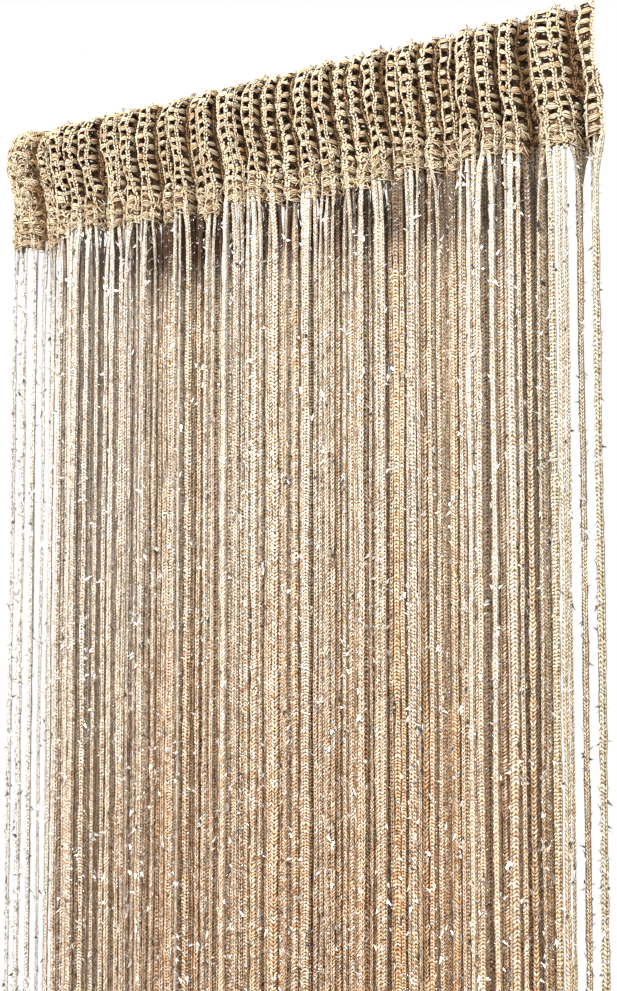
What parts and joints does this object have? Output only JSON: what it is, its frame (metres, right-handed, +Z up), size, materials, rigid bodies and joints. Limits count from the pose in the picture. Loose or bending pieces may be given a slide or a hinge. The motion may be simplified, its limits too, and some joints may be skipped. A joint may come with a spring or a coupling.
{
  "type": "string curtain",
  "caption": "Gathered openwork heading, sewn as a sleeve for a rod, with a fringe of long hanging chain-stitched strings that carry a metallic thread.",
  "frame": {"origin": "middle of the heading's top edge, half way between its front and back layers", "axes": "+X along the curtain to the right as seen from the front, the front faces -Y, +Z up"},
  "size_m": [0.4406, 0.0486, 2.0032],
  "materials": {
    "heading_yarn": "openwork knit of cream and tan yarn, slightly satiny",
    "string_yarn": "chain-stitched cord, cream to golden tan, with silver tinsel flecks"
  },
  "bodies": {
    "root": {"heading": "heading_yarn", "string_fringe": "string_yarn"}
  },
  "joints": []
}
